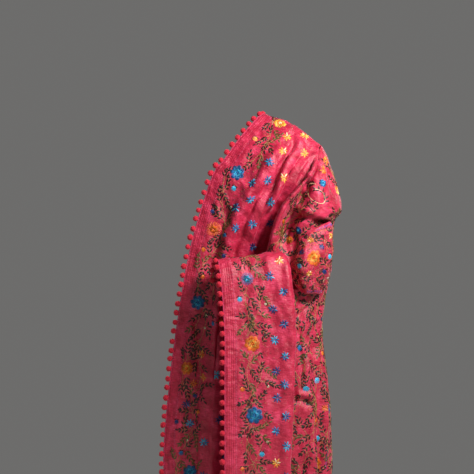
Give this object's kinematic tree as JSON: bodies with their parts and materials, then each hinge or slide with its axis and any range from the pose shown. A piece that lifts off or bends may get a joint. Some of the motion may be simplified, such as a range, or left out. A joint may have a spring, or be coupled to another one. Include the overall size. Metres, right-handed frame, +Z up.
{
  "type": "embroidered dupatta",
  "caption": "Long pink stole worn over the left shoulder and laid over the bent left forearm, with embroidered vines, flowers and stars and a red pompom edging.",
  "frame": {"origin": "underside of the cloth on top of the wearer's left shoulder, where the shoulder carries it", "axes": "+Z up, the wearer looks along -Y, +X is the wearer's left"},
  "size_m": [0.4286, 0.3477, 1.1852],
  "materials": {
    "cloth": "silky slubbed weave with a soft sheen",
    "pompom": "matt yarn",
    "thread": "glossy embroidery thread in blue, turquoise, orange, yellow, olive and dark brown"
  },
  "bodies": {
    "root": {"front_fall": "cloth", "back_fall": "cloth", "arm_wrap": "cloth", "side_fall": "cloth", "forearm_fall": "cloth", "elbow_fold": "cloth", "front_pompoms": "pompom", "back_pompoms": "pompom", "forearm_pompoms": "pompom"}
  },
  "joints": []
}
